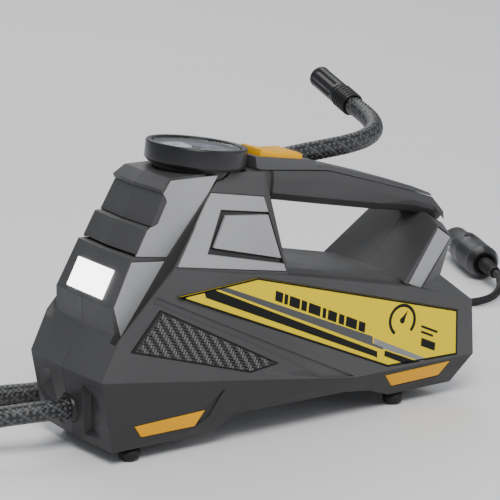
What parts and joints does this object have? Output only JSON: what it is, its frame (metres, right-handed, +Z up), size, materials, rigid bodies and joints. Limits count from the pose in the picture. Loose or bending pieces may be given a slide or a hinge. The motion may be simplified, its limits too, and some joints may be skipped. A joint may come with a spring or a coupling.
{
  "type": "portable tyre inflator",
  "caption": "Clam-shell 12 V tyre inflator with a carrying handle, lamp, round gauge, rocker switch, braided air hose with screw-on connector, and a cord with a lighter-socket plug.",
  "frame": {"origin": "middle of the housing's footprint, on the surface that the feet stand on", "axes": "-X to the lamp end, +X to the cord end, -Y to the left side, +Z up"},
  "size_m": [0.4902, 0.2612, 0.1596],
  "materials": {
    "charcoal": "satin moulded, warm charcoal grey",
    "graphite": "satin moulded, mid grey",
    "silver": "silver paint on plastic, satin",
    "black": "fine texture, black",
    "rubber": "matt black",
    "yellow": "printed film, semi-gloss",
    "amber": "satin amber yellow",
    "steel": "plain or plated",
    "brass": "as drawn",
    "dial": "printed, matt",
    "glass": "clear, polished",
    "lens": "diffusing lens"
  },
  "bodies": {
    "housing": {"left_shell": "charcoal", "right_shell": "charcoal", "handle_cover": "graphite", "left_tower_panel": "silver", "left_lamp_panel": "silver", "left_side_panel": "silver", "left_tab_panel": "silver", "left_grip_pad": "black", "left_label": "yellow", "front_left_insert": "amber", "rear_left_insert": "amber", "left_leg_strip": "silver", "right_tower_panel": "silver", "right_lamp_panel": "silver", "right_side_panel": "silver", "right_tab_panel": "silver", "right_grip_pad": "black", "right_label": "yellow", "front_right_insert": "amber", "rear_right_insert": "amber", "right_leg_strip": "silver", "front_left_foot": "rubber", "front_right_foot": "rubber", "rear_left_foot": "rubber", "rear_right_foot": "rubber", "lamp_lens": "lens", "lamp_board": "dial", "gauge_case": "black", "gauge_dial": "dial", "gauge_glass": "glass", "gauge_movement": "brass", "gauge_stem": "brass", "bourdon_tube": "brass", "switch_body": "black", "motor_can": "steel", "gear_frame": "steel", "cylinder": "steel", "cylinder_head": "steel", "hose_gland": "black", "air_hose": "rubber", "hose_ferrule": "black", "hose_clip": "black", "cord_strain_relief": "rubber", "power_cord": "rubber", "cord_coil": "rubber", "cord_tail": "rubber", "plug_strain_relief": "rubber", "plug_body": "black", "plug_nut": "steel"},
    "rocker": {"rocker": "amber"},
    "gear": {"drive_gear": "steel"},
    "motor": {"motor_shaft": "steel", "motor_fan": "black"},
    "piston": {"wobble_piston": "black"},
    "needle": {"gauge_needle": "black"},
    "connector": {"valve_connector": "black"},
    "plug_tip": {"plug_tip": "steel"},
    "contact_left": {"plug_contact_left": "steel"},
    "contact_right": {"plug_contact_right": "steel"}
  },
  "joints": [
    {"name": "rocker_tilt", "type": "hinge", "parent": "housing", "child": "rocker", "pos_m": [0.011, 0, 0.1386], "axis": [0, 1, 0], "range_deg": [-7, 7]},
    {"name": "gear_spin", "type": "hinge", "parent": "housing", "child": "gear", "pos_m": [-0.0185, 0, 0.06], "axis": [1, 0, 0], "continuous": true},
    {"name": "motor_spin", "type": "hinge", "parent": "housing", "child": "motor", "pos_m": [0, 0, 0.04], "axis": [1, 0, 0], "continuous": true},
    {"name": "piston_slide", "type": "slide", "parent": "housing", "child": "piston", "axis": [0, 0, 1], "range_m": [-0.014, 0]},
    {"name": "needle_turn", "type": "hinge", "parent": "housing", "child": "needle", "pos_m": [-0.0361, 0, 0.1542], "axis": [0.1392, 0, 0.9903], "range_deg": [-270, 0], "stiffness_Nm_per_rad": 0.0002},
    {"name": "connector_turn", "type": "hinge", "parent": "housing", "child": "connector", "pos_m": [0.1268, 0.084, 0.1426], "axis": [0.09, 0.96, 0.265], "continuous": true},
    {"name": "plug_tip_press", "type": "slide", "parent": "housing", "child": "plug_tip", "axis": [-0.3746, -0.9272, 0], "range_m": [0, 0.003], "stiffness_N_per_m": 900},
    {"name": "contact_left_press", "type": "slide", "parent": "housing", "child": "contact_left", "axis": [-0.9272, 0.3746, 0], "range_m": [0, 0.0014], "stiffness_N_per_m": 1200},
    {"name": "contact_right_press", "type": "slide", "parent": "housing", "child": "contact_right", "axis": [0.9272, -0.3746, 0], "range_m": [0, 0.0014], "stiffness_N_per_m": 1200}
  ],
  "couplings": [
    {"joint": "gear_spin", "follows": "motor_spin", "ratio": -0.25}
  ]
}
